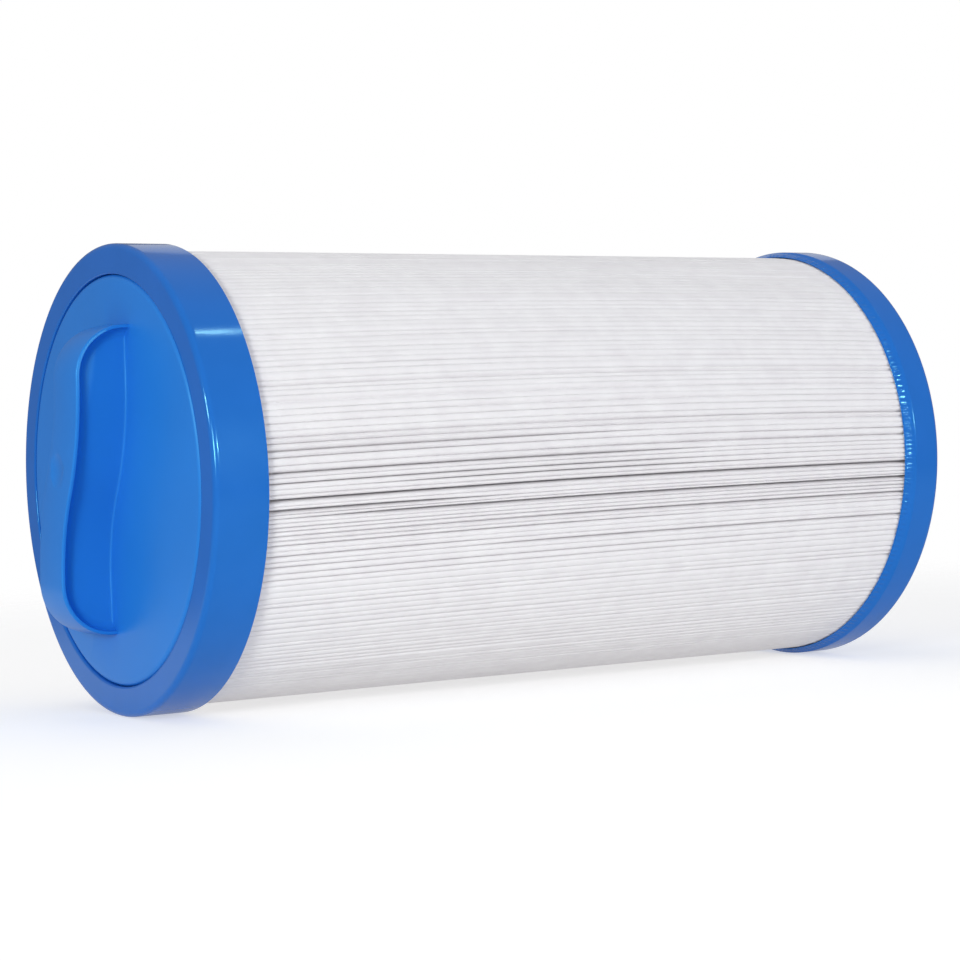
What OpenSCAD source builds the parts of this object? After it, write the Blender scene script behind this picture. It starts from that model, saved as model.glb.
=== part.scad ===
// Spa filter cartridge lying on its side: a pleated fleece round a perforated core,
// cast into a ring at each end, with a moulded handle at one end and a threaded
// fitting at the other. Millimetres, +Z up, handle towards -X, thread towards +X.

/* [Cartridge] */
// Length between the outer faces of the two end rings
cartridge_length = 235; // [160:1:340]
// Outside diameter of both end rings
ring_diameter = 125.4; // [112:0.2:150]
// Width of the top end ring along the axis
top_ring_width = 15.4; // [12:0.1:24]
// Width of the bottom end ring along the axis
bottom_ring_width = 12; // [10:0.1:24]
// Round on the outer edge of each end ring
ring_round = 1.5; // [0.5:0.1:2.5]
// Length over which the top ring slopes down to the pleats
top_climb = 0.6; // [0.3:0.1:6]
// Length over which the bottom ring, poured open, climbed the pleats
bottom_climb = 3.1; // [0.3:0.1:6]
// Thickness left at the edge of a ring's slope
climb_edge = 0.3; // [0.2:0.05:0.6]
// Thickness of the ring's skirt round the pleats
skirt_thickness = 1.6; // [1.2:0.1:3]
// Thickness of the cast floor that the pleats stand on
potting_floor = 4; // [2:0.5:5]
// Gap between a moulded insert and the ring cast round it
cast_gap = 0.15; // [0.05:0.05:0.3]

/* [Moulded inserts] */
// Width of the ring's face outside the disc that is set in it
face_band = 8.2; // [6:0.1:12]
// Thickness of each disc
insert_thickness = 4; // [3:0.5:5]
// Reach of the hidden locking flange past the disc
flange_reach = 3; // [1:0.5:4]
// Thickness of the locking flange
flange_thickness = 2; // [1:0.5:2.5]
// Depth of the spigot that plugs into the core
spigot_depth = 14; // [8:1:25]
// Wall of the handle's spigot
spigot_wall = 2.4; // [1.6:0.1:3]
// Gap between a spigot and the core
spigot_gap = 0.15; // [0.05:0.05:0.4]
// Lead-in chamfer at the end of a spigot
spigot_chamfer = 1; // [0.4:0.1:1.4]

/* [Handle] */
// Length of the handle across the disc
handle_length = 82; // [72:1:96]
// Height of the handle above the disc
handle_height = 15.5; // [14.5:0.5:24]
// Width of the handle's top
handle_width = 15.6; // [13:0.2:20]
// Sideways swing of each half of the S-shaped handle
handle_bow = 7.2; // [3:0.2:10]
// Radius that brings the handle's ends down to the disc
end_radius = 14; // [9:0.5:14]
// Thickness of the lip that the fingers pull on
lip_thickness = 1.4; // [1.1:0.1:2.5]
// Round on the top edge of the lip
lip_round = 1; // [0.4:0.1:1]
// Thickness of the web under the lip
web_thickness = 9.2; // [7.6:0.2:11]
// Fillet where the web meets the disc
foot_fillet = 1; // [0.5:0.25:3]
// Wall left round the two pockets moulded up into the handle
handle_wall = 2.2; // [1.6:0.1:2.6]
// Height of the hairline that the mould leaves across the middle of the handle
seam_height = 0.03; // [0.02:0.01:0.1]
// Width of that hairline
seam_width = 0.4; // [0.2:0.1:1]

/* [Core] */
// Outside diameter of the core tube
core_diameter = 54; // [50:0.5:60]
// Wall of the core tube
core_wall = 2.2; // [1.6:0.1:3]
// Diameter of the holes in the core
core_hole = 7; // [4:0.5:9]
// Number of holes round the core in one row
holes_round = 10; // [6:2:12]
// Number of rows of holes along the core
hole_rows = 15; // [6:1:16]

/* [Pleats] */
// Number of pleats round the cartridge
pleat_count = 224; // [120:2:240]
// Thickness of the fleece
fleece_thickness = 0.35; // [0.25:0.05:0.45]
// Gap between the pleats and the core or the ring's skirt
pleat_gap = 0.15; // [0.05:0.05:0.3]

/* [Threaded fitting] */
// Outside diameter of the nipple over its thread
thread_diameter = 47.8; // [44:0.1:60]
// Length of the nipple past the bottom ring
nipple_length = 22; // [15:0.5:32]
// Chamfer at the mouth of the nipple
nipple_chamfer = 1.5; // [0.5:0.1:2]
// Diameter of the water port through the fitting
port_diameter = 38; // [28:0.5:40]

/* [Hidden] */
$fn = 96;

ring_radius = ring_diameter / 2;
insert_radius = ring_radius - face_band;
flange_radius = insert_radius + flange_reach;
core_radius = core_diameter / 2;
core_bore_radius = core_radius - core_wall;
spigot_radius = core_bore_radius - spigot_gap;
spigot_bore_radius = spigot_radius - spigot_wall;
port_radius = port_diameter / 2;

// The pleats run from the floor of one ring to the floor of the other
pleat_start = insert_thickness + potting_floor;
pleat_length = cartridge_length - 2 * pleat_start;
skirt_bore_radius = ring_radius - skirt_thickness;
pleat_tip_radius = skirt_bore_radius - pleat_gap;
pleat_root_radius = core_radius + pleat_gap;

// The handle's plan is two equal arcs that meet in the middle of the disc
half_span = handle_length / 2 - end_radius;
swing_radius = (half_span * half_span + handle_bow * handle_bow) / (2 * handle_bow);
swing_angle = 2 * atan(handle_bow / half_span);
lip_half = handle_width / 2;
web_half = web_thickness / 2;
cove_radius = lip_half - web_half;
leg_height = handle_height - end_radius;
// How far a foot sinks into its disc, and a cutter runs past the face that it opens
root_depth = 1;
cut_past = 1;
// Faces on each quarter round of a section
arc_steps = 6;

overall_length = handle_height + cartridge_length + nipple_length;
face_x = handle_height - overall_length / 2;

blue_plastic = "#2477d4";
blue_cast = "#2a6fd0";
white_fleece = "#eef0f1";
white_plastic = "#e4e6e6";

// Lays the axis along +X, with the face of the top ring at face_x and the rings on z = 0
module lay_down() {
    translate([face_x, 0, ring_radius])
        rotate([0, 90, 0])
            children();
}

// Turns a piece end for end, so that it closes the bottom of the cartridge
module at_bottom() {
    translate([0, 0, cartridge_length])
        mirror([0, 0, 1])
            children();
}

// Points on a quarter arc about a centre, from one angle to another
function arc_points(centre, radius, from, to) =
    [for (i = [0 : arc_steps])
        let (a = from + (to - from) * i / arc_steps)
        centre + radius * [cos(a), sin(a)]];

// Right half of the handle's section, grown all round by a skin: across, then depth below its top
function half_section(depth, skin) = concat(
    arc_points([lip_half - lip_round, lip_round], lip_round + skin, -90, 0),
    arc_points([lip_half, lip_thickness + cove_radius], cove_radius - skin, -90, -180),
    [[web_half + skin, depth]]);

function mirrored(points) =
    [for (i = [len(points) - 1 : -1 : 0]) [-points[i][0], points[i][1]]];

// Whole section of the handle, down to a depth below its top
function handle_section(depth, skin = 0) =
    let (right = half_section(depth, skin))
    concat(right, mirrored(right));

// Section stood on the axis of the handle's rounded end
function end_section() =
    [for (point = handle_section(end_radius)) [end_radius - point[1], point[0]]];

// Half of the S, from the middle over the rounded end and down to the disc
module half_handle() {
    translate([half_span, handle_bow - swing_radius, -handle_height])
        rotate([0, 0, 90])
            rotate_extrude(angle = swing_angle)
                translate([swing_radius, 0])
                    polygon(handle_section(handle_height + root_depth));
    translate([half_span, handle_bow, -leg_height]) {
        rotate([90, 0, 0])
            rotate([0, 0, -90])
                rotate_extrude(angle = 90)
                    polygon(end_section());
        linear_extrude(leg_height + root_depth)
            polygon(end_section());
    }
}

// Hairline round the middle of the handle, which takes in the faces where its halves meet
module handle_seam() {
    rotate([0, 0, swing_angle])
        rotate([90, 0, 90])
            linear_extrude(seam_width, center = true) {
                translate([0, -handle_height])
                    polygon(handle_section(handle_height + root_depth, seam_height));
                foot_sides(seam_height);
            }
}

// Section of the fillets along both sides of the web's foot, grown by a skin
module foot_sides(skin = 0) {
    right = concat(
        [[web_half + foot_fillet, root_depth]],
        arc_points([web_half + foot_fillet, -foot_fillet], foot_fillet - skin, 90, 180));
    polygon(concat(right, mirrored(right)));
}

// Fillets along half of the web's foot, then straight on into the lip at the handle's end
module half_foot() {
    translate([half_span, handle_bow - swing_radius, 0])
        rotate([0, 0, 90])
            rotate_extrude(angle = swing_angle)
                translate([swing_radius, 0])
                    foot_sides();
    translate([half_span, handle_bow, 0])
        rotate([90, 0, 90])
            linear_extrude(end_radius - lip_thickness)
                foot_sides();
}

// Disc of a moulded insert with its locking flange, from the outer face inwards
module insert_disc() {
    cylinder(h = insert_thickness, r = insert_radius);
    translate([0, 0, insert_thickness - flange_thickness])
        cylinder(h = flange_thickness, r = flange_radius);
}

// Spigot that plugs into the core, chamfered at its end
module spigot(bore_radius) {
    rotate_extrude()
        polygon([
            [bore_radius, insert_thickness],
            [spigot_radius, insert_thickness],
            [spigot_radius, insert_thickness + spigot_depth - spigot_chamfer],
            [spigot_radius - spigot_chamfer, insert_thickness + spigot_depth],
            [bore_radius, insert_thickness + spigot_depth]
        ]);
}

// Ring cast round an insert, the core's end and the pleats' ends, sloping down to the pleats
module end_ring(width, climb) {
    rotate_extrude()
        polygon(concat(
            [[insert_radius + cast_gap, 0]],
            arc_points([ring_radius - ring_round, ring_round], ring_round, -90, 0),
            [
                [ring_radius, width - climb],
                [skirt_bore_radius + climb_edge, width],
                [skirt_bore_radius, width],
                [skirt_bore_radius, pleat_start],
                [core_radius + cast_gap, pleat_start],
                [core_radius + cast_gap, insert_thickness],
                [flange_radius + cast_gap, insert_thickness],
                [flange_radius + cast_gap, insert_thickness - flange_thickness - cast_gap],
                [insert_radius + cast_gap, insert_thickness - flange_thickness - cast_gap]
            ]));
}

// Handle, disc and spigot moulded as one piece, with two pockets under the handle
module handle_insert() {
    color(blue_plastic)
        lay_down()
            difference() {
                union() {
                    insert_disc();
                    spigot(spigot_bore_radius);
                    handle_seam();
                    for (turn = [0, 180])
                        rotate([0, 0, turn]) {
                            half_handle();
                            half_foot();
                        }
                }
                for (turn = [0, 180])
                    rotate([0, 0, turn])
                        handle_pocket();
            }
}

// Pocket under half of the handle, open inside the spigot, with a rib left in the middle
module handle_pocket() {
    half = web_half - handle_wall;
    top = lip_thickness + handle_wall;
    reach = sqrt(pow(spigot_bore_radius, 2) - pow(handle_bow + half, 2));
    start_angle = asin(max(0, half_span - reach) / swing_radius);
    rib_angle = asin(handle_wall / 2 / swing_radius);
    translate([half_span, handle_bow - swing_radius, -handle_height])
        rotate([0, 0, 90 + start_angle])
            rotate_extrude(angle = swing_angle - rib_angle - start_angle)
                translate([swing_radius - half, top])
                    square([2 * half, handle_height + insert_thickness + cut_past - top]);
}

module top_end_ring() {
    color(blue_cast)
        lay_down()
            end_ring(top_ring_width, top_climb);
}

// One folded sheet, the two faces of each pleat pressed together and its crease against the core
module pleated_media() {
    half_pitch = 180 / pleat_count;
    // Half the angle that the sheet's two thicknesses take up at a crown
    half_crown = fleece_thickness / pleat_tip_radius * 180 / PI;
    crease_radius = pleat_root_radius + fleece_thickness;
    color(white_fleece)
        lay_down()
            difference() {
                translate([0, 0, pleat_start])
                    linear_extrude(pleat_length)
                        polygon([for (i = [0 : pleat_count - 1]) let (a = 2 * half_pitch * i) each [
                            polar(pleat_tip_radius, a - half_crown),
                            polar(pleat_tip_radius, a + half_crown),
                            polar(crease_radius, a + half_pitch)
                        ]]);
                cylinder(h = cartridge_length, r = pleat_root_radius);
            }
}

function polar(radius, angle) = radius * [cos(angle), sin(angle)];

// Perforated tube between the backs of the two inserts, its rows of holes staggered
module core_tube() {
    row_pitch = pleat_length / hole_rows;
    hole_pitch = 360 / holes_round;
    color(white_plastic)
        lay_down()
            difference() {
                translate([0, 0, insert_thickness])
                    cylinder(h = cartridge_length - 2 * insert_thickness, r = core_radius);
                cylinder(h = cartridge_length, r = core_bore_radius);
                for (row = [0 : hole_rows - 1])
                    for (hole = [0 : holes_round - 1])
                        translate([0, 0, pleat_start + row_pitch * (row + 0.5)])
                            rotate([0, 90, hole_pitch * (hole + (row % 2) / 2)])
                                translate([0, 0, core_bore_radius - cut_past])
                                    cylinder(h = core_wall + 2 * cut_past, d = core_hole, $fn = 24);
            }
}

module bottom_end_ring() {
    color(blue_cast)
        lay_down()
            at_bottom()
                end_ring(bottom_ring_width, bottom_climb);
}

// Disc, spigot and nipple moulded as one piece, with the water port straight through it
module threaded_fitting() {
    nipple_radius = thread_diameter / 2;
    port_length = nipple_length + insert_thickness + spigot_depth;
    color(blue_plastic)
        lay_down()
            at_bottom()
                difference() {
                    union() {
                        insert_disc();
                        spigot(0);
                        rotate_extrude()
                            polygon([
                                [0, insert_thickness],
                                [nipple_radius, insert_thickness],
                                [nipple_radius, nipple_chamfer - nipple_length],
                                [nipple_radius - nipple_chamfer, -nipple_length],
                                [0, -nipple_length]
                            ]);
                    }
                    translate([0, 0, -nipple_length - cut_past])
                        cylinder(h = port_length + 2 * cut_past, r = port_radius);
                }
}

handle_insert();
top_end_ring();
pleated_media();
core_tube();
bottom_end_ring();
threaded_fitting();
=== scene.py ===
"""A spa filter cartridge lying on its side: the finish of its pieces, the light and the camera."""

import bisect
import math
import random

import bpy
from mathutils import Matrix, Vector


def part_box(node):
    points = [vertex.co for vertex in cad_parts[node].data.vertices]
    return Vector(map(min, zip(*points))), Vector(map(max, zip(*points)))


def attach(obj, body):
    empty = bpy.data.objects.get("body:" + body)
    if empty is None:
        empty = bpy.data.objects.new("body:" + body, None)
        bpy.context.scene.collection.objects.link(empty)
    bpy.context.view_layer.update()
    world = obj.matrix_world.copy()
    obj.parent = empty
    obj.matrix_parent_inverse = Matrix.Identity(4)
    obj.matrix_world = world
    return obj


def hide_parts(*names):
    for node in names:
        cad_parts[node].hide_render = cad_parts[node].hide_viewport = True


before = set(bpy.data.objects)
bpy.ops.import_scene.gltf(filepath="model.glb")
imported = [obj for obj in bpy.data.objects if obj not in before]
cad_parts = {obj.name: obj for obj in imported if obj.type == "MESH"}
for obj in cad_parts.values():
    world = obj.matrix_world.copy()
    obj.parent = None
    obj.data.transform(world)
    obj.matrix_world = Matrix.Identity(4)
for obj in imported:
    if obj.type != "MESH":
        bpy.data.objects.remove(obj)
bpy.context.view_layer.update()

MM = 0.001

# Places that the frame gives, in metres
top_low, top_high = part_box("top_end_ring")
far_low, far_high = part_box("bottom_end_ring")
media_low, media_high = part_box("pleated_media")
core_low, core_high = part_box("core_tube")
grip_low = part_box("handle_insert")[0]
nipple_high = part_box("threaded_fitting")[1]
FACE_X = top_low.x
BACK_X = far_high.x
AXIS_Z = (top_low.z + top_high.z) / 2
AXIS_POINT = (0.0, 0.0, AXIS_Z)
AXIS = (1.0, 0.0, 0.0)
RING_RADIUS = (top_high.z - top_low.z) / 2 / MM
TOP_RING_WIDTH = (top_high.x - top_low.x) / MM
FAR_RING_WIDTH = (far_high.x - far_low.x) / MM
PLEAT_TIP = (media_high.z - media_low.z) / 2 / MM
CORE_RADIUS = (core_high.z - core_low.z) / 2 / MM
HANDLE_HEIGHT = (FACE_X - grip_low.x) / MM
NIPPLE_LENGTH = (nipple_high.x - BACK_X) / MM

# Sizes of the cast rings and of the discs set in them, in millimetres
INSERT_RADIUS = 54.5
INSERT_THICKNESS = 4.0
FLANGE_RADIUS = 57.5
FLANGE_THICKNESS = 2.0
CAST_GAP = 0.15
PLEAT_START = 8.0
SKIRT_WALL = 1.6
SKIRT_BORE = RING_RADIUS - SKIRT_WALL
RING_ROUND = 1.5
GROOVE_ROUND = 0.45
DISC_ROUND = 1.6
# Narrow flats beside a ring's round edge and its climb, which keep the shading of its wide faces even
EDGE_FLAT = 0.3
CLIMB_FLAT = 0.2
TOP_CLIMB = 0.6
FAR_CLIMB = 3.1
CLIMB_EDGE = 0.3
RING_STEPS = 320
SPIGOT_RADIUS = 24.65
SPIGOT_BORE = 22.25
SPIGOT_DEPTH = 14.0
SPIGOT_CHAMFER = 1.0

# Where the far ring's cast climbs the fleece: heights in millimetres, places as shares of the climb
FAR_RING_STEPS = 1600
BEAD_HEIGHT = (0.1, 0.3)
BEAD_PLACE = 0.7
BEAD_SPREAD = 0.22
CLIMB_SAG = 0.9
DIP_IN_GAP = 0.2
TOE_INTO_GAP = 0.15
TOE_SWING = 0.5
# Place along the fleece, as a share of its length, where the cast meets the pleats
TOE_STATION = 0.98

# Sizes of the S-shaped handle, in millimetres
HALF_SPAN = 27.0
BOW = 7.2
SWING_RADIUS = (HALF_SPAN ** 2 + BOW ** 2) / (2 * BOW)
SWING_ANGLE = math.degrees(2 * math.atan(BOW / HALF_SPAN))
END_RADIUS = 14.0
LIP_HALF = 7.8
LIP_ROUND = 0.5
LIP_THICKNESS = 0.9
WEB_HALF = 4.6
FOOT_FILLET = 0.6
ROOT_DEPTH = 1.0
CROWN = 0.25
BEND_Z = AXIS_Z - HALF_SPAN * MM
TOP_X = FACE_X - HANDLE_HEIGHT * MM
SWING_STEPS = 24
END_STEPS = 20
GATE_MARK_HEIGHT = 3.4
GATE_MARK_DEPTH = 0.65
GATE_MARK_SPHERE = 17.0

# Sizes of the nipple and its coarse thread, in millimetres
PORT_RADIUS = 19.0
THREAD_RADIUS = 23.9
THREAD_ROOT = 22.4
THREAD_FOOT = 3.8
THREAD_CREST = 1.8
THREAD_SINK = 0.4
THREAD_PITCH = 5.0
THREAD_TURNS = 3
THREAD_STEPS = 120
NIPPLE_CHAMFER = 1.5

# Sizes of the pleats in millimetres, angles in degrees, places along them as shares of the length
PLEAT_PITCH = 1.61
TIGHT_PITCH = 1.15
TIGHT_ZONE = (-20.0, 1.0)
PITCH_SPREAD = 0.14
FLEECE = 0.35
ROOT_CLEARANCE = 2.0
ROOT_OUTER = CORE_RADIUS + ROOT_CLEARANCE
CLOSED_WIDTH = (0.04, 0.11)
CLOSED_DEPTH = (0.2, 0.45)
SLIT_DEPTH = 0.3
# Half the width that a gap keeps at its crowns, and below them
LEAST_HALF_GAP = 0.02
HALF_SLIT = 0.015
# Some closed gaps are looser than the rest
LOOSE_SHARE = 0.28
LOOSE_TIMES = 2.3
# Closed gaps gape most about this angle, and less to both sides of it
GAPE_MIDDLE = -6.0
GAPE_SPREAD = 25.0
GAPE_LEAST = 0.45
GAPE_MORE = 1.05
# How far the width of a gap, and the place and height of a crown, change along the length
WIDTH_CHANGE = 0.3
LEAST_WIDTH = 0.3
SIDE_SWAY = 0.09
TIP_SWAY = 0.07
TIP_DROP = 0.12
# A pleat is turned by NEAR_TWIST at the top ring, not at all at TWIST_MIDDLE, and at the far ring
# by FAR_TWIST less a fall for each degree of its angle
TWIST_RATE = 2.2
TWIST_MIDDLE = 0.515
NEAR_TWIST = -2.0
FAR_TWIST = 0.4
FAR_TWIST_FALL = 0.05
FAR_TWIST_RANGE = (-1.2, 1.0)
# Drop of the crowns beside an open gap, and the stretch to each side over which it opens
OPEN_CROWN = 0.8
OPENING = 0.12
STATIONS = 30
# Gaps that stand open: degrees above the near side, width and depth in mm, and the stretch of the length
OPEN_GAPS = [
    (-20.0, 0.35, 1.5, -0.1, 0.15),
    (-18.6, 0.55, 2.2, 0.35, 1.1),
    (-17.2, 0.35, 1.5, -0.1, 0.3),
    (-14.4, 0.35, 1.5, -0.1, 0.55),
    (-12.2, 0.55, 2.2, 0.45, 1.1),
    (-7.8, 0.80, 3.0, 0.15, 1.1),
    (-6.0, 0.70, 3.0, -0.1, 0.3),
    (-3.4, 0.90, 3.5, -0.1, 1.1),
    (-0.8, 0.40, 2.0, 0.2, 0.7),
    (0.6, 0.40, 2.0, -0.1, 0.6),
    (3.1, 0.60, 2.5, -0.1, 0.6),
    (4.8, 0.40, 1.5, 0.45, 1.1),
    (6.8, 0.35, 1.5, -0.1, 0.35),
    (8.4, 0.50, 2.0, -0.1, 0.5),
    (11.6, 0.30, 1.2, 0.15, 0.8),
    (16.8, 0.22, 1.0, 0.2, 0.8),
    (20.2, 0.20, 0.9, -0.1, 1.1),
    (24.4, 0.30, 1.1, -0.1, 1.1),
]


def arc(centre, radius, start, end, steps=6):
    """Points on an arc about a centre, the angles in degrees."""
    points = []
    for i in range(steps + 1):
        a = math.radians(start + (end - start) * i / steps)
        points.append((centre[0] + radius * math.cos(a), centre[1] + radius * math.sin(a)))
    return points


def select_only(piece):
    bpy.ops.object.select_all(action="DESELECT")
    piece.select_set(True)
    bpy.context.view_layer.objects.active = piece


def outline(name, points, closed=True):
    """A line through points, in metres, shaped from the circle primitive."""
    bpy.ops.object.select_all(action="DESELECT")
    bpy.ops.mesh.primitive_circle_add(vertices=len(points), radius=MM, location=(0, 0, 0))
    piece = bpy.context.object
    piece.name = name
    piece.data.name = name
    for vertex, point in zip(piece.data.vertices, points):
        vertex.co = point
    if not closed:
        ends = {0, len(points) - 1}
        bpy.ops.object.mode_set(mode="EDIT")
        bpy.ops.mesh.select_mode(type="EDGE")
        bpy.ops.mesh.select_all(action="DESELECT")
        bpy.ops.object.mode_set(mode="OBJECT")
        for edge in piece.data.edges:
            edge.select = set(edge.vertices) == ends
        bpy.ops.object.mode_set(mode="EDIT")
        bpy.ops.mesh.delete(type="EDGE")
        bpy.ops.object.mode_set(mode="OBJECT")
    return piece


def spin(piece, centre, axis, degrees, steps):
    """Sweeps an outline round an axis, by the right-hand rule."""
    select_only(piece)
    bpy.ops.object.mode_set(mode="EDIT")
    bpy.ops.mesh.select_all(action="SELECT")
    bpy.ops.mesh.spin(steps=steps, angle=-math.radians(degrees), center=centre, axis=axis)
    bpy.ops.object.mode_set(mode="OBJECT")


def extrude(piece, shift):
    """Draws an outline out along a vector."""
    select_only(piece)
    bpy.ops.object.mode_set(mode="EDIT")
    bpy.ops.mesh.select_all(action="SELECT")
    bpy.ops.mesh.extrude_edges_move(TRANSFORM_OT_translate={"value": shift})
    bpy.ops.object.mode_set(mode="OBJECT")


def close_up(piece, cap=False):
    """Joins the seams of a swept skin, fills its open ends if asked, and turns its faces outwards."""
    select_only(piece)
    bpy.ops.object.mode_set(mode="EDIT")
    bpy.ops.mesh.select_mode(type="VERT")
    bpy.ops.mesh.select_all(action="SELECT")
    bpy.ops.mesh.remove_doubles(threshold=0.002 * MM)
    if cap:
        bpy.ops.mesh.select_all(action="DESELECT")
        bpy.ops.mesh.select_non_manifold(extend=False)
        bpy.ops.mesh.fill_holes(sides=0)
    bpy.ops.mesh.select_all(action="SELECT")
    bpy.ops.mesh.normals_make_consistent(inside=False)
    bpy.ops.object.mode_set(mode="OBJECT")


def turned(name, profile, steps=240, closed=True):
    """A body of revolution about the cartridge's axis: profile is (place along X in m, radius in mm)."""
    piece = outline(name, [(x, 0.0, AXIS_Z + r * MM) for x, r in profile], closed)
    spin(piece, AXIS_POINT, AXIS, 360, steps)
    close_up(piece)
    return piece


def from_front(points):
    """Depths behind the front face, in mm, turned into places along X."""
    return [(FACE_X + d * MM, r) for d, r in points]


def from_back(points):
    """Depths in from the back face, in mm, turned into places along X."""
    return [(BACK_X - d * MM, r) for d, r in points]


def joined(pieces, name):
    bpy.ops.object.select_all(action="DESELECT")
    for piece in pieces:
        piece.select_set(True)
    bpy.context.view_layer.objects.active = pieces[0]
    bpy.ops.object.join()
    pieces[0].name = name
    pieces[0].data.name = name
    return pieces[0]


def half_turned(piece):
    """A copy of a piece, turned half way round the cartridge's axis."""
    select_only(piece)
    bpy.ops.object.duplicate()
    copy = bpy.context.object
    about = Matrix.Translation(AXIS_POINT)
    copy.data.transform(about @ Matrix.Rotation(math.pi, 4, "X") @ about.inverted())
    return copy


def combine(piece, other, operation):
    """Adds another solid to a piece, or takes it away, and removes the other."""
    select_only(piece)
    modifier = piece.modifiers.new(operation.lower(), "BOOLEAN")
    modifier.object = other
    modifier.operation = operation
    modifier.solver = "EXACT"
    bpy.ops.object.modifier_apply(modifier=modifier.name)
    bpy.data.objects.remove(other)


def smooth(piece, degrees):
    select_only(piece)
    bpy.ops.object.shade_smooth_by_angle(angle=math.radians(degrees))


def finished(piece, node, material):
    """Puts a modelled piece in place of its CAD node, with its finish."""
    piece.data.materials.clear()
    piece.data.materials.append(material)
    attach(piece, "root")
    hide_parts(node)


# Pleats: where each gap between two pleats lies round the fleece

def pleat_gaps(chance):
    """Angles of the gaps above the near side: the open ones in their places, with pleats fitted between."""
    angles, opened = [], {}
    ends = [gap[0] for gap in OPEN_GAPS[1:]] + [OPEN_GAPS[0][0] + 360.0]
    for (low, *shape), high in zip(OPEN_GAPS, ends):
        pitch = TIGHT_PITCH if TIGHT_ZONE[0] <= low < TIGHT_ZONE[1] else PLEAT_PITCH
        count = max(1, round((high - low) / pitch))
        step = (high - low) / count
        opened[len(angles)] = shape
        angles.append(low)
        angles += [low + step * (i + chance.uniform(-PITCH_SPREAD, PITCH_SPREAD)) for i in range(1, count)]
    return angles, opened


def waves(chance, size):
    """A slow random sway along the length: a long wave and a shorter, weaker one."""
    return [
        (size * chance.uniform(0.5, 1.0), chance.uniform(0.4, 0.9), chance.uniform(0, 6.28)),
        (size * chance.uniform(0.2, 0.5), chance.uniform(1.3, 2.2), chance.uniform(0, 6.28)),
    ]


def sway(parts, t):
    return sum(size * math.sin(6.283 * turns * t + start) for size, turns, start in parts)


def ease(low, high, t):
    s = min(max((t - low) / (high - low), 0.0), 1.0)
    return s * s * (3 - 2 * s)


def gape(angle):
    """How far the closed gaps gape: most at the near side, where the fleece has slumped apart."""
    away = (angle - GAPE_MIDDLE + 180.0) % 360.0 - 180.0
    return GAPE_LEAST + GAPE_MORE * math.exp(-(away / GAPE_SPREAD) ** 2)


def twist(angle, t):
    """The pleats climb towards the far end, and bend over as they get there."""
    s = TWIST_RATE * (t - TWIST_MIDDLE)
    least, most = FAR_TWIST_RANGE
    end = min(max(FAR_TWIST - FAR_TWIST_FALL * angle, least), most)
    return (end - NEAR_TWIST) / 2 * s + (end + NEAR_TWIST) / 2 * s * s


class Pleats:
    """The folded fleece: which angles each pleat's crown takes up at each place along it."""

    def __init__(self):
        chance = random.Random(11)
        self.gaps, self.opened = pleat_gaps(chance)
        self.count = len(self.gaps)
        loose = [LOOSE_TIMES if chance.random() < LOOSE_SHARE else 1.0 for _ in self.gaps]
        self.widths = [chance.uniform(*CLOSED_WIDTH) * times for times in loose]
        self.depths = [
            chance.uniform(*CLOSED_DEPTH) * times * gape(angle)
            for times, angle in zip(loose, self.gaps)]
        self.changes = [waves(chance, WIDTH_CHANGE) for _ in self.gaps]
        self.sways = [waves(chance, SIDE_SWAY) for _ in self.gaps]
        self.drops = [waves(chance, TIP_SWAY) for _ in self.gaps]

    def gap(self, i, t):
        """The gap below pleat i: its middle and half width in degrees, its crowns' drop and its depth
        in mm."""
        change = max(1 + sway(self.changes[i], t), LEAST_WIDTH)
        width, crown = self.widths[i] * change, self.depths[i] * change
        depth = crown + SLIT_DEPTH
        if i in self.opened:
            wide, deep, start, end = self.opened[i]
            part = ease(start - OPENING, start + OPENING, t) - ease(end - OPENING, end + OPENING, t)
            width += (wide - width) * part
            crown += (OPEN_CROWN - crown) * part
            depth += (deep - depth) * part
        middle = self.gaps[i] + twist((self.gaps[i] + 180.0) % 360.0 - 180.0, t)
        return middle, math.degrees(width / 2 / PLEAT_TIP), crown, depth

    def rows(self, t):
        """Every pleat's lower edge and upper edge in degrees, its tip in mm, and the gap below it."""
        gaps = [self.gap(i, t) for i in range(self.count)]
        rows = []
        for i in range(self.count):
            low, low_half = gaps[i][:2]
            high, high_half = gaps[(i + 1) % self.count][:2]
            if high < low:
                high += 360.0
            shift = math.degrees(sway(self.sways[i], t) / PLEAT_TIP)
            tip = PLEAT_TIP - TIP_DROP - sway(self.drops[i], t)
            rows.append([low + low_half + shift, high - high_half + shift, tip, *gaps[i][2:]])
        least = math.degrees(LEAST_HALF_GAP / PLEAT_TIP)
        for i in range(self.count):
            a, b = rows[i], rows[(i + 1) % self.count]
            lap = 360.0 if i == self.count - 1 else 0.0
            if b[0] + lap - a[1] < 2 * least:
                middle = (b[0] + lap + a[1]) / 2
                a[1] = middle - least
                b[0] = middle + least - lap
        return rows


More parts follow.
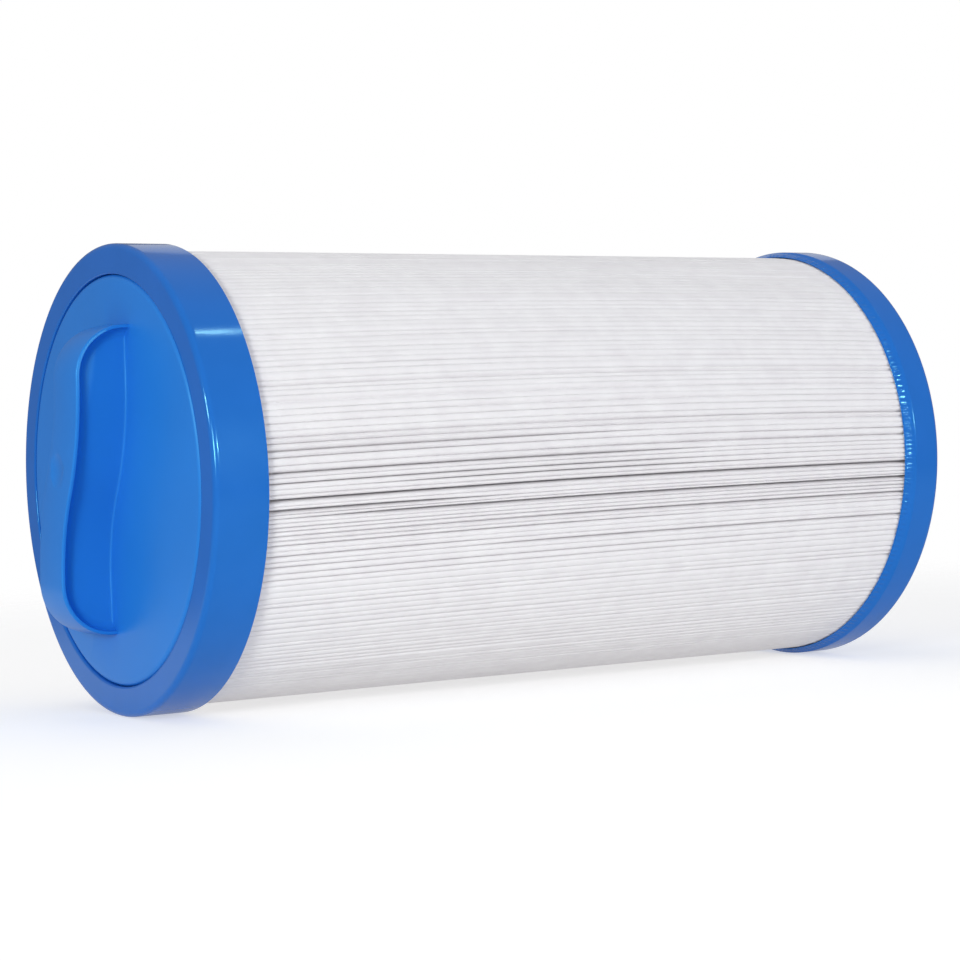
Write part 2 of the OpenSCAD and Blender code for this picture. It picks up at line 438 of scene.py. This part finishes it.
def pleat_path(rows):
    """Outer and inner points of the fleece's section, as (degrees, radius in mm).
    Two pleats touch just below their crowns, so that only a shallow groove shows between them."""
    outer, inner = [], []
    thick = math.degrees(FLEECE / PLEAT_TIP)
    slit = math.degrees(HALF_SLIT / PLEAT_TIP)
    last = len(rows) - 1
    for i, (low, high, tip, low_crown, low_depth) in enumerate(rows):
        after = rows[0] if i == last else rows[i + 1]
        below = (low + rows[i - 1][1] - (360.0 if i == 0 else 0.0)) / 2
        above = (high + after[0] + (360.0 if i == last else 0.0)) / 2
        high_crown, high_depth = after[3:]
        middle, half = (low + high) / 2, (high - low) / 2
        outer += [(below, ROOT_OUTER), (below + slit, PLEAT_TIP - low_depth)]
        for turn in (180, 135, 90, 45, 0):
            c, s = math.cos(math.radians(turn)), math.sin(math.radians(turn))
            outer.append((middle + half * c, tip - (low_crown if c < 0 else high_crown) * (1 - s)))
        outer.append((above - slit, PLEAT_TIP - high_depth))
        inner += [
            (below, ROOT_OUTER - FLEECE),
            (below + slit + thick, PLEAT_TIP - low_depth),
            (middle, tip - FLEECE),
            (above - slit - thick, PLEAT_TIP - high_depth),
        ]
    return outer, inner


def round_point(x, degrees, radius):
    """A point at an angle above the near side, its radius in mm."""
    a = math.radians(degrees)
    return (x, -radius * MM * math.cos(a), AXIS_Z + radius * MM * math.sin(a))


def fleece_faces(outer, inner, pleats):
    """Faces of the fleece's skin, from the counts of its outer points, its inner points and its pleats."""
    row = outer + inner
    faces = []
    for s in range(STATIONS - 1):
        here, there = row * s, row * (s + 1)
        for i in range(outer):
            j = (i + 1) % outer
            faces.append((here + i, here + j, there + j, there + i))
        for i in range(inner):
            a, b = outer + i, outer + (i + 1) % inner
            faces.append((here + a, there + a, there + b, here + b))
    for here in (0, row * (STATIONS - 1)):
        for p in range(pleats):
            out = [here + (outer // pleats * p + i) % outer for i in range(outer // pleats + 1)]
            back = [here + outer + (inner // pleats * p + i) % inner for i in range(inner // pleats + 1)]
            faces.append(out + back[::-1])
    return faces


def make_fleece(pleats):
    """One sheet of fleece folded round the core, a closed skin of its two faces."""
    length = media_high.x - media_low.x
    verts = []
    flat_length = 0.0
    for s in range(STATIONS):
        t = s / (STATIONS - 1)
        outer, inner = pleat_path(pleats.rows(t))
        x = media_low.x + length * t
        ring = [round_point(x, *p) for p in outer]
        if s == STATIONS // 2:
            flat_length = sum(math.dist(ring[i - 1], ring[i]) for i in range(len(ring)))
        verts += ring + [round_point(x, *p) for p in inner]
    mesh = bpy.data.meshes.new("fleece")
    mesh.from_pydata(verts, [], fleece_faces(len(outer), len(inner), pleats.count))
    piece = bpy.data.objects.new("fleece", mesh)
    bpy.context.scene.collection.objects.link(piece)
    close_up(piece)
    smooth(piece, 50)
    return piece, (length, flat_length)


# Cast rings

def ring_profile(width, climb, steps):
    """Section of a cast ring as (depth behind its face, radius), from its groove outwards."""
    bore = INSERT_RADIUS + CAST_GAP
    lip = INSERT_THICKNESS - FLANGE_THICKNESS - CAST_GAP
    slope = [(width - climb - CLIMB_FLAT, RING_RADIUS)]
    for i in range(steps + 1):
        s = i / steps
        slope.append((width - climb + climb * s, RING_RADIUS + (SKIRT_BORE + CLIMB_EDGE - RING_RADIUS) * s))
    return (
        arc((GROOVE_ROUND, bore + GROOVE_ROUND), GROOVE_ROUND, 270, 180, 4)
        + [(0.0, bore + 2 * GROOVE_ROUND), (0.0, RING_RADIUS - RING_ROUND - EDGE_FLAT)]
        + arc((RING_ROUND, RING_RADIUS - RING_ROUND), RING_ROUND, 180, 90, 8)
        + [(RING_ROUND + EDGE_FLAT, RING_RADIUS)]
        + slope
        + [
            (width, SKIRT_BORE),
            (PLEAT_START, SKIRT_BORE),
            (PLEAT_START, CORE_RADIUS + CAST_GAP),
            (INSERT_THICKNESS, CORE_RADIUS + CAST_GAP),
            (INSERT_THICKNESS, FLANGE_RADIUS + CAST_GAP),
            (lip, FLANGE_RADIUS + CAST_GAP),
            (lip, bore),
        ])


def make_top_ring():
    piece = turned("top_ring", from_front(ring_profile(TOP_RING_WIDTH, TOP_CLIMB, 1)), RING_STEPS)
    smooth(piece, 35)
    return piece


def make_far_ring(pleats):
    """The ring that was poured open: the cast climbs the pleats, bulging over each crown."""
    piece = turned("far_ring", from_back(ring_profile(FAR_RING_WIDTH, FAR_CLIMB, 10)), FAR_RING_STEPS)
    rows = pleats.rows(TOE_STATION)
    chance = random.Random(5)
    beads = [chance.uniform(*BEAD_HEIGHT) for _ in rows]
    start = BACK_X - (FAR_RING_WIDTH - FAR_CLIMB) * MM
    for vertex in piece.data.vertices:
        x, y, z = vertex.co
        radius = math.hypot(y, z - AXIS_Z) / MM
        up = (start - x) / (FAR_CLIMB * MM)
        if up <= 0.01 or radius < SKIRT_BORE + 0.5 * CLIMB_EDGE:
            continue
        angle = math.degrees(math.atan2(z - AXIS_Z, -y))
        pleat, lift = crown_lift(rows, angle)
        bead = beads[pleat] * lift * math.exp(-((up - BEAD_PLACE) / BEAD_SPREAD) ** 2)
        sag = CLIMB_SAG * up * (1 - up)
        radius += up * DIP_IN_GAP * (lift - 1) - sag + bead
        x += (TOE_SWING * lift - TOE_INTO_GAP) * up ** 2 * MM
        vertex.co = round_point(x, angle, radius)
    smooth(piece, 60)
    return piece


def crown_lift(rows, angle):
    """Which pleat an angle falls on, and 1 over the middle of its crown down to 0 in the gap beside it."""
    start = rows[0][0]
    angle = start + (angle - start) % 360.0
    pleat = bisect.bisect_right([row[0] for row in rows], angle) - 1
    low, high = rows[pleat][:2]
    if angle > high:
        return pleat, 0.0
    return pleat, math.sin(math.pi * (angle - low) / (high - low))


# Moulded handle

def disc_profile():
    """Section of a moulded disc as (depth behind its face, radius), from its edge to its spigot's end."""
    flange = INSERT_THICKNESS - FLANGE_THICKNESS
    end = INSERT_THICKNESS + SPIGOT_DEPTH
    return arc((DISC_ROUND, INSERT_RADIUS - DISC_ROUND), DISC_ROUND, 180, 90, 6) + [
        (flange, INSERT_RADIUS),
        (flange, FLANGE_RADIUS),
        (INSERT_THICKNESS, FLANGE_RADIUS),
        (INSERT_THICKNESS, SPIGOT_RADIUS),
        (end - SPIGOT_CHAMFER, SPIGOT_RADIUS),
        (end, SPIGOT_RADIUS - SPIGOT_CHAMFER),
    ]


def handle_half_section(depth, extra=()):
    """Half the handle's section as (across, depth below its top), from the middle outwards."""
    reach = LIP_HALF - LIP_ROUND
    crest = [reach * i / 4 for i in range(4)]
    cove = LIP_HALF - WEB_HALF
    return (
        [(a, CROWN * (a / reach) ** 2) for a in crest]
        + arc((reach, LIP_ROUND + CROWN), LIP_ROUND, -90, 0, 6)
        + arc((LIP_HALF, LIP_THICKNESS + CROWN + cove), cove, -90, -180, 10)
        + [(WEB_HALF, d) for d in extra]
        + [(WEB_HALF, depth)])


def handle_section(depth, extra=()):
    half = handle_half_section(depth, extra)
    return [(-a, d) for a, d in reversed(half[1:])] + half


def at_bend(section, top_x):
    """A section placed across the S where its lower bend ends, its depths counted from top_x."""
    return [(top_x + d * MM, (BOW + a) * MM, BEND_Z) for a, d in section]


def swept_half(name, section, top_x, closed):
    """Sweeps a section along half of the S, from its lower end to the middle of the disc."""
    piece = outline(name, at_bend(section, top_x), closed)
    spin(piece, (0.0, (BOW - SWING_RADIUS) * MM, BEND_Z), AXIS, SWING_ANGLE, SWING_STEPS)
    return piece


def handle_end(section):
    """Sweeps a section over the handle's rounded lower end and down into the disc."""
    corner = outline("corner", at_bend(section, TOP_X), False)
    foot_x = TOP_X + END_RADIUS * MM
    spin(corner, (foot_x, 0.0, BEND_Z), (0.0, 1.0, 0.0), -90, END_STEPS)
    drop = [(foot_x, (BOW + a) * MM, BEND_Z - (END_RADIUS - d) * MM) for a, d in section]
    leg = outline("leg", drop, False)
    extrude(leg, ((HANDLE_HEIGHT - END_RADIUS + ROOT_DEPTH) * MM, 0.0, 0.0))
    return [corner, leg]


def foot_section():
    """Section of the fillets at the web's foot as (across, depth below the disc's face)."""
    side = arc((WEB_HALF + FOOT_FILLET, -FOOT_FILLET), FOOT_FILLET, 90, 180, 6)
    side = [(WEB_HALF + FOOT_FILLET, ROOT_DEPTH)] + side
    return side + [(-a, d) for a, d in reversed(side)]


def make_foot():
    """Fillet along half of the web's foot and straight on to the handle's end."""
    swing = swept_half("foot", foot_section(), FACE_X, True)
    close_up(swing, cap=True)
    straight = outline("foot_end", at_bend(foot_section(), FACE_X), True)
    extrude(straight, (0.0, 0.0, (LIP_THICKNESS - END_RADIUS) * MM))
    close_up(straight, cap=True)
    return [swing, straight]


def gate_mark():
    """A ball that presses the shallow moulding mark into the top of the grip."""
    bpy.ops.object.select_all(action="DESELECT")
    bpy.ops.mesh.primitive_uv_sphere_add(
        segments=96, ring_count=64, radius=GATE_MARK_SPHERE * MM, location=(0, 0, 0))
    mark = bpy.context.object
    mark.data.transform(Matrix.Translation((
        TOP_X - (GATE_MARK_SPHERE - GATE_MARK_DEPTH) * MM, 0.0, AXIS_Z + GATE_MARK_HEIGHT * MM)))
    return mark


def make_handle():
    """Disc, spigot and S-shaped grip, moulded as one piece."""
    disc = turned("handle", from_front(
        [(0.0, 0.0)]
        + disc_profile()
        + [
            (INSERT_THICKNESS + SPIGOT_DEPTH, SPIGOT_BORE),
            (INSERT_THICKNESS, SPIGOT_BORE),
            (INSERT_THICKNESS, 0.0),
        ]), closed=False)
    full = handle_section(HANDLE_HEIGHT + ROOT_DEPTH, extra=[END_RADIUS])
    lower = [swept_half("swing", full, TOP_X, False)] + handle_end(handle_section(END_RADIUS))
    upper = [half_turned(piece) for piece in lower]
    grip = joined(lower + upper, "grip")
    close_up(grip, cap=True)
    combine(disc, grip, "UNION")
    feet = make_foot()
    for piece in feet + [half_turned(piece) for piece in feet]:
        combine(disc, piece, "UNION")
    combine(disc, gate_mark(), "DIFFERENCE")
    smooth(disc, 32)
    return disc


# Threaded fitting

def make_fitting():
    """Disc, spigot and hollow nipple, moulded as one piece, with a coarse thread round the nipple."""
    body = turned("fitting", from_back(
        [
            (-NIPPLE_LENGTH, PORT_RADIUS),
            (-NIPPLE_LENGTH, THREAD_ROOT - NIPPLE_CHAMFER),
            (NIPPLE_CHAMFER - NIPPLE_LENGTH, THREAD_ROOT),
            (0.0, THREAD_ROOT),
        ]
        + disc_profile()
        + [(INSERT_THICKNESS + SPIGOT_DEPTH, PORT_RADIUS)]))
    ridge = [
        (-THREAD_FOOT / 2, THREAD_ROOT - THREAD_SINK),
        (-THREAD_CREST / 2, THREAD_RADIUS),
        (THREAD_CREST / 2, THREAD_RADIUS),
        (THREAD_FOOT / 2, THREAD_ROOT - THREAD_SINK),
    ]
    thread = outline("thread", [(a * MM, 0.0, r * MM) for a, r in ridge])
    screw = thread.modifiers.new("thread", "SCREW")
    screw.axis = "X"
    screw.angle = math.tau
    screw.screw_offset = THREAD_PITCH * MM
    screw.iterations = THREAD_TURNS
    screw.steps = THREAD_STEPS
    select_only(thread)
    bpy.ops.object.modifier_apply(modifier=screw.name)
    close_up(thread, cap=True)
    middle = BACK_X + NIPPLE_LENGTH / 2 * MM - THREAD_PITCH * THREAD_TURNS / 2 * MM
    thread.data.transform(Matrix.Translation((middle, 0.0, AXIS_Z)))
    combine(body, thread, "UNION")
    smooth(body, 35)
    return body


# Materials

# Sheen of a blue plastic, which takes on some of its colour as the photo shows it
SHEEN_TINT = (0.3, 1.0, 1.0, 1.0)


def linear(code):
    """A colour code as linear red, green, blue and alpha."""
    channels = []
    for i in (1, 3, 5):
        c = int(code[i:i + 2], 16) / 255
        channels.append(c / 12.92 if c <= 0.04045 else ((c + 0.055) / 1.055) ** 2.4)
    return (*channels, 1.0)


def add_node(tree, kind, inputs=None, **settings):
    """Adds a node with its settings; an input is a value, or a socket to link from."""
    made = tree.nodes.new(kind)
    for name, value in settings.items():
        setattr(made, name, value)
    for name, value in (inputs or {}).items():
        if isinstance(value, bpy.types.NodeSocket):
            tree.links.new(value, made.inputs[name])
        else:
            made.inputs[name].default_value = value
    return made


def new_material(name):
    material = bpy.data.materials.new(name)
    material.use_nodes = True
    tree = material.node_tree
    shader = tree.nodes["Principled BSDF"]
    place = add_node(tree, "ShaderNodeTexCoord").outputs["Object"]
    return material, tree, shader, place


def noise(tree, place, size_mm, detail, stretch=(1, 1, 1)):
    """Noise whose features are about size_mm across, stretched along an axis by a smaller factor."""
    mapped = add_node(tree, "ShaderNodeMapping", {"Vector": place, "Scale": stretch})
    return add_node(tree, "ShaderNodeTexNoise", {
        "Vector": mapped.outputs["Vector"],
        "Scale": 1 / (size_mm * MM),
        "Detail": detail,
    }).outputs["Fac"]


def ranged(tree, value, low, high, from_low=0.2, from_high=0.8):
    return add_node(tree, "ShaderNodeMapRange", {
        "Value": value, "From Min": from_low, "From Max": from_high, "To Min": low, "To Max": high,
    }, interpolation_type="SMOOTHSTEP").outputs["Result"]


def colour_mix(tree, factor, a, b):
    """Mixes two colours, each a value or a socket."""
    node = tree.nodes.new("ShaderNodeMix")
    node.data_type = "RGBA"
    for index, value in ((0, factor), (6, a), (7, b)):
        if isinstance(value, bpy.types.NodeSocket):
            tree.links.new(value, node.inputs[index])
        else:
            node.inputs[index].default_value = value
    return node.outputs[2]


def bump(tree, shader, height, distance_mm, strength):
    made = add_node(tree, "ShaderNodeBump", {
        "Height": height, "Distance": distance_mm * MM, "Strength": strength})
    tree.links.new(made.outputs["Normal"], shader.inputs["Normal"])


def moulded_plastic():
    """Injection-moulded ABS coloured through: semi-gloss, with faint flow clouding."""
    material, tree, shader, place = new_material("moulded_blue")
    clouds = noise(tree, place, size_mm=30, detail=3)
    grain = noise(tree, place, size_mm=0.5, detail=2)
    colour = colour_mix(tree, ranged(tree, clouds, 0, 1), linear("#2279d6"), linear("#257ddc"))
    tree.links.new(colour, shader.inputs["Base Color"])
    tree.links.new(ranged(tree, clouds, 0.34, 0.42), shader.inputs["Roughness"])
    shader.inputs["IOR"].default_value = 1.53
    shader.inputs["Specular Tint"].default_value = SHEEN_TINT
    bump(tree, shader, grain, distance_mm=0.01, strength=0.3)
    return material


def cast_plastic():
    """Cast polyurethane, coloured through: a skin with slow ripples from the mould's filling."""
    material, tree, shader, place = new_material("cast_blue")
    ripples = noise(tree, place, size_mm=14, detail=2)
    colour = colour_mix(tree, ranged(tree, ripples, 0, 1), linear("#1d66c1"), linear("#2069c6"))
    tree.links.new(colour, shader.inputs["Base Color"])
    tree.links.new(ranged(tree, ripples, 0.09, 0.15), shader.inputs["Roughness"])
    shader.inputs["IOR"].default_value = 1.5
    shader.inputs["Specular Tint"].default_value = SHEEN_TINT
    bump(tree, shader, ripples, distance_mm=0.05, strength=0.25)
    return material


def fleece_cloth():
    """Spun-bonded polyester fleece: matt white, faintly blotched, its fibres pressed flat."""
    material, tree, shader, place = new_material("fleece")
    fibres = noise(tree, place, size_mm=0.5, detail=3, stretch=(0.35, 1, 1))
    blotches = noise(tree, place, size_mm=6, detail=3)
    colour = colour_mix(tree, ranged(tree, blotches, 0, 1), linear("#ebe8ea"), linear("#f1eff0"))
    tree.links.new(colour, shader.inputs["Base Color"])
    shader.inputs["Roughness"].default_value = 0.85
    shader.inputs["Specular IOR Level"].default_value = 0.2
    shader.inputs["Sheen Weight"].default_value = 0.15
    shader.inputs["Sheen Roughness"].default_value = 0.5
    bump(tree, shader, fibres, distance_mm=0.08, strength=0.4)
    return material


def core_plastic():
    """Moulded white ABS, satin."""
    material, tree, shader, place = new_material("core_white")
    grain = noise(tree, place, size_mm=0.8, detail=2)
    shader.inputs["Base Color"].default_value = linear("#e6e7e6")
    shader.inputs["Roughness"].default_value = 0.45
    bump(tree, shader, grain, distance_mm=0.02, strength=0.3)
    return material


# The object's pieces

def build_object():
    pleats = Pleats()
    blue, cast = moulded_plastic(), cast_plastic()
    finished(make_top_ring(), "top_end_ring", cast)
    finished(make_far_ring(pleats), "bottom_end_ring", cast)
    finished(make_handle(), "handle_insert", blue)
    finished(make_fitting(), "threaded_fitting", blue)
    fleece, flat = make_fleece(pleats)
    finished(fleece, "pleated_media", fleece_cloth())
    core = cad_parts["core_tube"]
    core.data.materials.clear()
    core.data.materials.append(core_plastic())


# Light, floor and camera

# The floor's size and the stretch over which it fades out, in metres, its paint, and its glow
# to other rays and to the camera
FLOOR_RADIUS = 0.9
FLOOR_FADE = (0.25, 0.6)
FLOOR_PAINT = 0.6
FLOOR_GLOW = (0.28, 0.55)


def build_world():
    """Soft studio light from all round, and a white background where a ray leaves the scene."""
    world = bpy.data.worlds.new("studio")
    bpy.context.scene.world = world
    world.use_nodes = True
    tree = world.node_tree
    tree.nodes.clear()
    toward = add_node(tree, "ShaderNodeTexCoord").outputs["Generated"]
    facing = add_node(tree, "ShaderNodeVectorMath", {
        0: toward, 1: Vector((-0.2, -0.75, 0.63)).normalized()}, operation="DOT_PRODUCT").outputs["Value"]
    level = ranged(tree, facing, 0.2, 0.6, -1.0, 1.0)
    soft = add_node(tree, "ShaderNodeBackground", {"Color": linear("#f6f8fb"), "Strength": level})
    white = add_node(tree, "ShaderNodeBackground", {"Color": (1, 1, 1, 1), "Strength": 1.0})
    path = add_node(tree, "ShaderNodeLightPath")
    seen = add_node(tree, "ShaderNodeMixShader", {
        0: path.outputs["Is Camera Ray"], 1: soft.outputs[0], 2: white.outputs[0]})
    add_node(tree, "ShaderNodeOutputWorld", {"Surface": seen.outputs[0]})


def build_floor():
    """A plain white floor, lit a little from below, that keeps the shadow and fades into the background."""
    bpy.ops.object.select_all(action="DESELECT")
    bpy.ops.mesh.primitive_circle_add(
        vertices=96, radius=FLOOR_RADIUS, fill_type="NGON", location=(0, 0, 0))
    floor = bpy.context.object
    floor.name = "floor"
    material = bpy.data.materials.new("floor_white")
    material.use_nodes = True
    tree = material.node_tree
    tree.nodes.clear()
    paint = add_node(tree, "ShaderNodeBsdfDiffuse", {"Color": (FLOOR_PAINT, FLOOR_PAINT, FLOOR_PAINT, 1)})
    path = add_node(tree, "ShaderNodeLightPath").outputs["Is Camera Ray"]
    shine = add_node(tree, "ShaderNodeMapRange", {
        "Value": path, "To Min": FLOOR_GLOW[0], "To Max": FLOOR_GLOW[1]}).outputs["Result"]
    glow = add_node(tree, "ShaderNodeEmission", {"Color": (1, 1, 1, 1), "Strength": shine})
    clear = add_node(tree, "ShaderNodeBsdfTransparent")
    lit = add_node(tree, "ShaderNodeAddShader", {0: paint.outputs[0], 1: glow.outputs[0]})
    place = add_node(tree, "ShaderNodeTexCoord").outputs["Object"]
    far = add_node(tree, "ShaderNodeVectorMath", {0: place}, operation="LENGTH").outputs["Value"]
    fade = add_node(tree, "ShaderNodeMapRange", {
        "Value": far, "From Min": FLOOR_FADE[0], "From Max": FLOOR_FADE[1],
    }, interpolation_type="SMOOTHSTEP").outputs["Result"]
    faded = add_node(tree, "ShaderNodeMixShader", {0: fade, 1: lit.outputs[0], 2: clear.outputs[0]})
    add_node(tree, "ShaderNodeOutputMaterial", {"Surface": faded.outputs[0]})
    floor.data.materials.append(material)


def aim(thing, target):
    thing.rotation_euler = (Vector(target) - thing.location).to_track_quat("-Z", "Y").to_euler()


def add_light(name, place, target, size, power, colour="#ffffff", lights=True, glints=True):
    """A round area light. Without lights it only makes highlights, and without glints it makes none."""
    data = bpy.data.lights.new(name, "AREA")
    data.shape = "DISK"
    data.size = size
    data.energy = power
    data.color = linear(colour)[:3]
    light = bpy.data.objects.new(name, data)
    bpy.context.scene.collection.objects.link(light)
    light.location = place
    light.visible_diffuse = lights
    light.visible_glossy = glints
    aim(light, target)


def build_lights():
    """Soft lights on both sides of the camera and behind, a small lamp for the streak on the top ring, and
    three for highlights: on the far ring's beads, on the disc's edge and along the top of the rings."""
    add_light("key", (0.35, -0.8, 0.25), AXIS_POINT, 0.5, 1.6, "#f4f6ff", glints=False)
    add_light("side", (-0.81, -0.61, 0.24), (FACE_X, 0.0, AXIS_Z), 0.22, 4.15, "#fafdfa")
    ring_top = Vector((FACE_X + 8 * MM, -51 * MM, AXIS_Z + 37 * MM))
    add_light("lamp", ring_top + 0.9 * Vector((0.434, -0.239, 0.869)), ring_top, 0.03, 0.06)
    beads = Vector((BACK_X - 10 * MM, -60 * MM, AXIS_Z))
    add_light("glint", beads + Vector((0.0, -0.9, 0.25)), beads, 0.03, 3.2, lights=False)
    disc_edge = Vector((FACE_X, -53 * MM, AXIS_Z + 13 * MM))
    add_light("rim", disc_edge + 0.9 * Vector((-0.959, 0.059, 0.275)), disc_edge, 0.1, 2.0, lights=False)
    add_light("back", (0.0, 0.42, 0.85), AXIS_POINT, 0.6, 1.1, "#fff8f6", glints=False)
    add_light("sheen", (0.44, 0.64, 0.445), (0.0, 0.0, 2 * AXIS_Z), 0.5, 0.25, lights=False)


def build_camera():
    """A long lens level with the handle, as in the photo; the picture is tipped a little."""
    data = bpy.data.cameras.new("camera")
    data.sensor_width = 36.0
    data.lens = 91.28
    data.clip_start = 0.05
    data.clip_end = 20.0
    camera = bpy.data.objects.new("camera", data)
    bpy.context.scene.collection.objects.link(camera)
    # The picture's axes, fitted to the outlines of the two rings
    right = Vector((0.84917, -0.52711, -0.03264))
    up = Vector((0.03841, 0.0, 0.99926))
    forward = Vector((0.52672, 0.84980, -0.02025))
    turn = Matrix((right, up, -forward)).transposed().to_4x4()
    place = Vector((FACE_X - 0.25685, -0.5995, AXIS_Z + 0.0101))
    camera.matrix_world = Matrix.Translation(place) @ turn
    bpy.context.scene.camera = camera


build_object()
build_world()
build_floor()
build_lights()
build_camera()
bpy.context.scene.view_settings.view_transform = "Standard"
